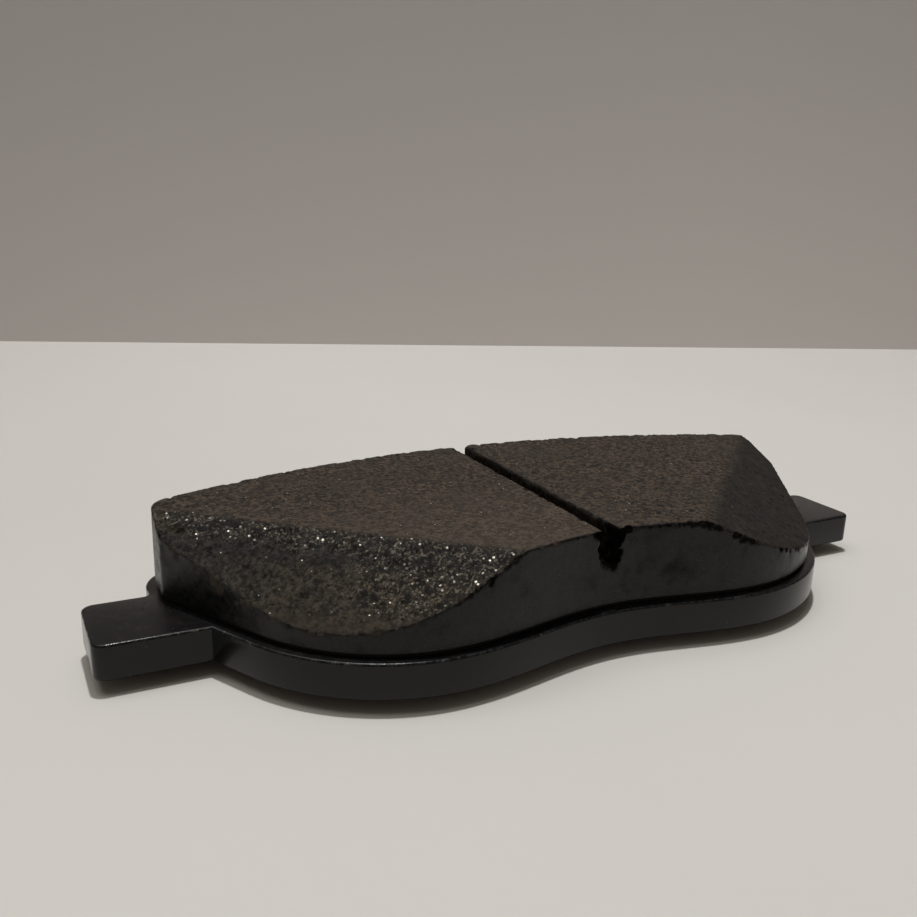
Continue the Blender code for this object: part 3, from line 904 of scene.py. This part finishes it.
    def lift_slot_floor(self, across, behind):
        """Leaves the slot's floor standing higher at the left of its mouth, under the coat."""
        points = self.points
        depth = RUBBING_Z - points[:, 2]
        half_width = SLOT_WIDTH / 2
        leftward = 1 - ramp(points[:, 0] - SLOT_X, -half_width, half_width)
        at_floor = np.exp(-(((depth - SLOT_DEPTH) / (0.5 * MM)) ** 2))
        at_floor = at_floor * (1 - ramp(across, half_width - 0.2 * MM, half_width + 0.9 * MM))
        lift = at_floor * (1 - ramp(behind, 0.5 * MM, 3 * MM)) * (0.2 + 1.0 * leftward) * MM
        points[:, 2] += lift
        filled = ramp(lift, 0.10 * MM, 0.35 * MM)
        self.wall = np.maximum(self.wall, filled)
        self.slot = self.slot * (1 - filled)

    def write_back(self):
        """Gives the shape its new points, and the numbers that the finish reads."""
        for vert, point in zip(self.shape.verts, self.points):
            vert.co = point
        layers = {
            "coated": self.wall,
            "torn": self.chamfer["left"],
            "glazed": self.glazed,
            # painted shade in broken hollows, pits and the slot
            "hollow_shade": np.maximum(self.hollow_shade, self.slot * 0.55),
            "worn": self.worn,
            "sparkle": self.sparkle,
            "earthy": self.earthy,
            "scuffed": self.scuffed,
            "settled": self.settled,
        }
        for name, values in layers.items():
            layer = self.shape.verts.layers.float.new(name)
            for vert, value in zip(self.shape.verts, np.clip(values, 0, 1)):
                vert[layer] = float(value)


def point_along(path, distance):
    """The point at a distance along a path of points."""
    for a, b in zip(path, path[1:]):
        step = (b - a).length
        if distance <= step:
            return a.lerp(b, distance / step)
        distance -= step
    return path[-1].copy()


def edge_outward(spot, lean):
    """A direction between upwards and outwards from the block, for a point on an upper edge."""
    flat = Vector((spot.x * 0.25, spot.y - HEART_Y, 0)).normalized()
    return (flat * lean + Vector((0, 0, 1 - lean))).normalized()


def front_rim(low_x, high_x):
    """The upper edge of the front wall between two places in X."""
    return [rim_point(x) for x in np.linspace(low_x, high_x, 60)]


def rear_edge():
    """The upper edge of the rear wall."""
    points = sorted(p for p in block_outline() if p[1] > REAR_FROM_Y)
    return [Vector((x, y, RUBBING_Z)) for x, y in points]


def torn_corner():
    """The rear end of the torn chamfer: in along its ridge, and down its slope."""
    start, normal = chamfer_plane("left")
    run = ridge_run("left")
    length = (BLOCK_LENGTH / 2 - abs(start.x)) / abs(run.x)
    high, low = start + run * length * 0.96, start + run * length * 0.88
    outward = Vector((normal.x, normal.y, 0)).normalized()
    down = outward * normal.z - Vector((0, 0, 1)) * math.hypot(normal.x, normal.y)
    return [high, high + down * 2.5 * MM, low + down * 3.5 * MM]


def slot_edges():
    """The two upper edges of the slot."""
    ys = (CHAMFER_START_Y + 2 * MM, BLOCK_CROWN)
    xs = (SLOT_X - SLOT_WIDTH / 2, SLOT_X + SLOT_WIDTH / 2)
    return [[Vector((x, y, RUBBING_Z)) for y in ys] for x in xs]


RIM_CHIPS = (  # along the front rim: X and size, in millimetres
    ((3.6, 0.8), (5.2, 0.5), (8.4, 0.6), (10.8, 0.6), (13.4, 1.0), (15.2, 1.2), (16.9, 0.8))
    + ((21.5, 1.3), (23.6, 0.9), (30.5, 0.8), (35.0, 0.8), (41.0, 0.7))
    + ((-5.5, 0.5), (-17.0, 1.0), (-20.5, 1.1), (-24.5, 0.8))
)


def worn_moulding():
    """The lump with its texture, pits and broken edges."""
    moulding = Moulding(moulding_lump())
    moulding.texture()
    top, left, right = moulding.top, moulding.chamfer["left"], moulding.chamfer["right"]
    moulding.scatter_pits(top, 420, (0.3, 0.6), (0.04, 0.12), FIRST_SEED)
    moulding.scatter_pits(right, 30, (0.3, 0.6), (0.04, 0.10), FIRST_SEED + 1)
    moulding.scatter_pits(left, 170, (0.6, 1.3), (0.10, 0.30), FIRST_SEED + 22, 0.25)
    middle, left_end = front_rim(-17 * MM, 17 * MM), front_rim(-52 * MM, -17 * MM)
    moulding.crumble(middle, 0.9, (0.4, 1.2), 0.28, FIRST_SEED + 3, worn=0.8, lean=0.75)
    moulding.crumble(left_end, 1.1, (0.4, 1.0), 0.25, FIRST_SEED + 11, worn=0.8, lean=0.75)
    moulding.crumble(torn_corner(), 0.5, (0.5, 1.2), 0.45, FIRST_SEED + 12, lean=0.3)
    moulding.crumble(rear_edge(), 1.3, (0.6, 1.7), 0.50, FIRST_SEED + 4, lean=0.35)
    for number, path in enumerate(slot_edges()):
        moulding.crumble(path, 1.3, (0.3, 0.9), 0.17, FIRST_SEED + 6 + number)
    moulding.chip_rim(RIM_CHIPS, FIRST_SEED + 9)
    moulding.break_slot_mouth()
    moulding.write_back()
    return moulding.shape


def kept_between(shape, low, high):
    """A copy of the shape cut level at low and high, either of which may be None."""
    made = shape.copy()
    for level, normal in ((low, (0, 0, -1)), (high, (0, 0, 1))):
        if level is not None:
            opening = cut_away(made, (0, 0, level), normal, 1e-8)
            bmesh.ops.edgeloop_fill(made, edges=opening)
    return made


def make_moulding(finish):
    """The friction block and, below it, the underlayer with its keys."""
    shape = worn_moulding()
    set_down(shape)
    block = new_piece("friction_lining", kept_between(shape, BLOCK_Z, None), finish, CUT_ANGLE)
    add_to_pad(block, "friction_block")
    under = kept_between(shape, UNDERLAYER_Z, BLOCK_Z)
    shape.free()
    add_keys(under)
    layer = new_piece("insulating_underlayer", under, finish, CUT_ANGLE)
    add_to_pad(layer, "underlayer")


# Plate, film, shim and rivets


def make_plate(finish):
    """The stamped plate. Its holes stay closed, because the keys and rivets cover them."""
    shape = slab(plate_outline(), PLATE_Z, PLATE_TOP_Z)
    roll_rims(shape, PLATE_EDGE_ROLL, 4, (PLATE_Z, PLATE_TOP_Z))
    set_down(shape)
    plate = new_piece("stamped_plate", shape, finish)
    add_to_pad(plate, "backing_plate")


def make_film(finish):
    """The adhesive between the plate and the moulding."""
    shape = slab(block_outline(-FILM_INSET), PLATE_TOP_Z, UNDERLAYER_Z)
    set_down(shape)
    film = new_piece("adhesive_film", shape, finish)
    add_to_pad(film, "bonding_film")


def make_shim(steel, rubber):
    """The anti-noise shim: steel outside, rubber against the plate."""
    outline = block_outline(-SHIM_INSET)
    layers = (
        ("steel_shim", "shim_steel", SHIM_Z, SHIM_TOP_Z, steel, "shim_steel"),
        ("rubber_layer", "shim_damping_layer", SHIM_TOP_Z, PLATE_Z, rubber, "damping_rubber"),
    )
    for name, node, bottom, top, finish, slot in layers:
        shape = slab(outline, bottom, top)
        roll_rims(shape, 0.12 * MM, 3, (bottom, top))
        set_down(shape)
        add_to_pad(new_piece(name, shape, finish), node)


def make_rivets(finish):
    """Turned rivets, each with a shallow dimple in its head."""
    head = (  # share of the head's radius, and height in millimetres
        ((0, 0.12), (0.30, 0.10), (0.42, 0), (0.80, 0))
        + ((0.93, 0.06), (1, 0.18), (0.99, 0.32), (0.93, 0.52))
    )
    profile = [(share * RIVET_HEAD_RADIUS, RIVET_Z + height * MM) for share, height in head]
    profile += [
        (RIVET_SHANK_RADIUS, RIVET_Z + 0.56 * MM),
        (RIVET_SHANK_RADIUS, RIVET_TOP_Z - 0.2 * MM),
        (RIVET_SHANK_RADIUS - 0.2 * MM, RIVET_TOP_Z),
        (0, RIVET_TOP_Z),
    ]
    for number, (x, y) in enumerate(rivet_places(), 1):
        shape = bmesh.new()
        path = [shape.verts.new((r, 0, z)) for r, z in profile]
        edges = [shape.edges.new(pair) for pair in zip(path, path[1:])]
        bmesh.ops.spin(
            shape,
            geom=path + edges,
            cent=(0, 0, 0),
            axis=(0, 0, 1),
            angle=2 * math.pi,
            steps=40,
            use_merge=True,
        )
        bmesh.ops.remove_doubles(shape, verts=shape.verts, dist=1e-7)
        bmesh.ops.translate(shape, verts=shape.verts, vec=(x, y, 0))
        set_down(shape)
        rivet = new_piece(f"rivet_{number}", shape, finish)
        add_to_pad(rivet, f"shim_rivet_{number}")


# Stage, lights and camera

FLOOR_SIZE = 4.0
FLOOR_DROP = 0.02 * MM  # keeps the floor clear of the rivet heads that stand on it
WALL_WIDTH = 6.0
WALL_HEIGHT = 2.0
CAMERA_PLACE = (-0.07839, -0.12582, 0.06574)
CAMERA_HEADING = math.radians(-27.297)
CAMERA_DIP = math.radians(15.898)
CAMERA_ROLL = math.radians(1.7486)
CAMERA_LENS = 37.28
WALL_MIDDLE = (0.00535, 0.2761)
WALL_TURN = math.radians(-19.63)
LAMP_PLACE = (0.020, 0.085, 1.10)
SOFTBOX_PLACE = (-0.20, 0.18, 1.00)


def flat_sheet(width, depth):
    shape = bmesh.new()
    made = bmesh.ops.create_grid(shape, x_segments=8, y_segments=8, size=0.5)
    bmesh.ops.scale(shape, verts=made["verts"], vec=(width, depth, 1))
    return shape


def make_stage():
    """A pale floor, and a board standing behind the pad."""
    shape = flat_sheet(FLOOR_SIZE, FLOOR_SIZE)
    bmesh.ops.translate(shape, verts=shape.verts, vec=(0, 0, -FLOOR_DROP))
    new_piece("paper_floor", shape, paper_finish())
    shape = flat_sheet(WALL_WIDTH, WALL_HEIGHT)
    stood = Matrix.Rotation(WALL_TURN, 3, "Z") @ Matrix.Rotation(math.pi / 2, 3, "X")
    bmesh.ops.rotate(shape, verts=shape.verts, cent=(0, 0, 0), matrix=stood)
    foot = WALL_HEIGHT / 2 - 1 * MM
    bmesh.ops.translate(shape, verts=shape.verts, vec=(*WALL_MIDDLE, foot))
    new_piece("board_wall", shape, wall_finish())


def add_light(name, place, size, power, colour):
    """A round light of a size in metres and a power in watts, aimed at the pad."""
    light = bpy.data.lights.new(name, "AREA")
    light.shape = "DISK"
    light.size = size
    light.energy = power
    light.color = colour
    lamp = bpy.data.objects.new(name, light)
    lamp.location = place
    lamp.rotation_euler = (-Vector(place)).to_track_quat("-Z", "Y").to_euler()
    bpy.context.scene.collection.objects.link(lamp)


def make_lights():
    """A small lamp for the shadow's edge, a wide soft one, and a dim warm room."""
    add_light("overhead lamp", LAMP_PLACE, 0.045, 7.2, (0.95, 0.98, 1.0))
    add_light("overhead softbox", SOFTBOX_PLACE, 0.90, 4.0, (1.0, 0.98, 0.95))
    world = bpy.data.worlds.new("room")
    world.use_nodes = True
    backdrop = world.node_tree.nodes["Background"]
    backdrop.inputs["Color"].default_value = (1.0, 0.89, 0.77, 1)
    backdrop.inputs["Strength"].default_value = 0.15
    bpy.context.scene.world = world


def make_camera():
    data = bpy.data.cameras.new("camera")
    data.lens = CAMERA_LENS
    data.sensor_width = 36
    data.clip_start = 0.005
    data.clip_end = 20
    camera = bpy.data.objects.new("camera", data)
    heading = Matrix.Rotation(CAMERA_HEADING, 4, "Z")
    tilt = Matrix.Rotation(math.pi / 2 - CAMERA_DIP, 4, "X")
    roll = Matrix.Rotation(CAMERA_ROLL, 4, "Z")
    camera.matrix_world = Matrix.Translation(CAMERA_PLACE) @ heading @ tilt @ roll
    bpy.context.scene.collection.objects.link(camera)
    bpy.context.scene.camera = camera


make_camera()
make_lights()
make_stage()
lining_finish = friction_compound()
make_moulding(lining_finish)
make_plate(plate_paint())
make_film(film_finish())
make_shim(shim_finish(), rubber_finish())
make_rivets(rivet_finish())
bpy.context.scene.view_settings.view_transform = "Standard"
